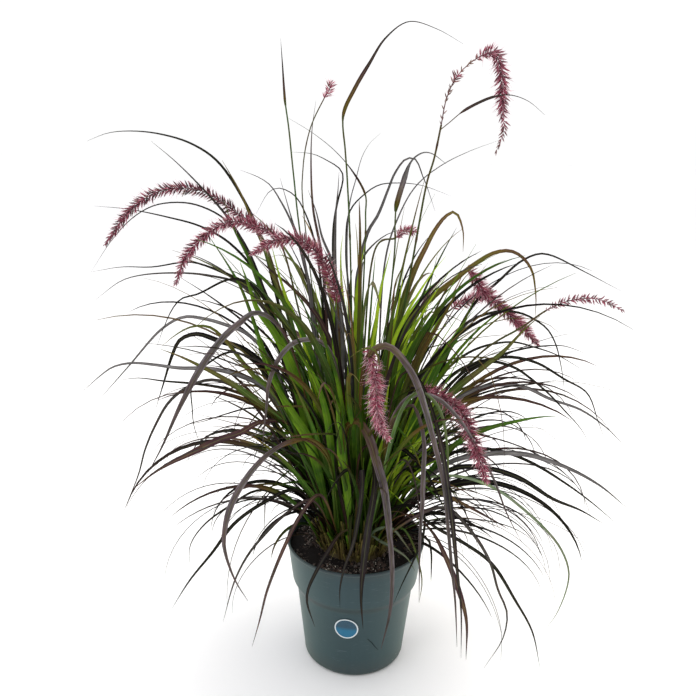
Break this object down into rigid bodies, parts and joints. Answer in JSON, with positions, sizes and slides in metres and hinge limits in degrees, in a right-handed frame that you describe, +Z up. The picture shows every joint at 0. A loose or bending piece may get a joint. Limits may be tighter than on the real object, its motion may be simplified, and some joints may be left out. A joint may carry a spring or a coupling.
{
  "type": "potted fountain grass",
  "caption": "Clump of purple fountain grass with arching leaves and drooping bottle-brush plumes, in a round tapered nursery pot with a collar.",
  "frame": {"origin": "middle of the flat underside of the pot", "axes": "+Z up, -Y toward the front with the label, +X to the right seen from the front"},
  "size_m": [0.6777, 0.6931, 0.8403],
  "materials": {
    "pot": "satin slate blue-grey",
    "label": "printed film, plain blue with a white ring",
    "soil": "damp peat",
    "crown": "dry straw-brown stem bases",
    "leaf": "green at the base, purple-brown toward the tip",
    "stem": "smooth green to purple culm",
    "plume": "soft burgundy and pink bristles"
  },
  "bodies": {
    "root": {"pot": "pot", "label": "label", "potting_soil": "soil", "crown": "crown", "outer_shoot_01": "leaf", "outer_shoot_02": "leaf", "outer_shoot_03": "leaf", "outer_shoot_04": "leaf", "outer_shoot_05": "leaf", "outer_shoot_06": "leaf", "outer_shoot_07": "leaf", "outer_shoot_08": "leaf", "outer_shoot_09": "leaf", "outer_shoot_10": "leaf", "outer_shoot_11": "leaf", "outer_shoot_12": "leaf", "outer_shoot_13": "leaf", "outer_shoot_14": "leaf", "inner_shoot_01": "leaf", "inner_shoot_02": "leaf", "inner_shoot_03": "leaf", "inner_shoot_04": "leaf", "inner_shoot_05": "leaf", "inner_shoot_06": "leaf", "inner_shoot_07": "leaf", "inner_shoot_08": "leaf", "inner_shoot_09": "leaf", "inner_shoot_10": "leaf", "inner_shoot_11": "leaf", "inner_shoot_12": "leaf", "inner_shoot_13": "leaf", "inner_shoot_14": "leaf", "flower_stem_1": "stem", "flower_stem_2": "stem", "flower_stem_3": "stem", "flower_stem_4": "stem", "flower_stem_5": "stem", "flower_stem_6": "stem", "flower_stem_7": "stem", "flower_stem_8": "stem", "flower_stem_9": "stem", "flower_stem_10": "stem", "flower_stem_11": "stem", "young_culm_1": "stem", "young_culm_2": "stem", "young_culm_3": "stem", "young_culm_4": "stem", "plume_1": "plume", "plume_2": "plume", "plume_3": "plume", "plume_4": "plume", "plume_5": "plume", "plume_6": "plume", "plume_7": "plume", "plume_8": "plume", "plume_9": "plume", "plume_10": "plume", "plume_11": "plume"}
  },
  "joints": []
}
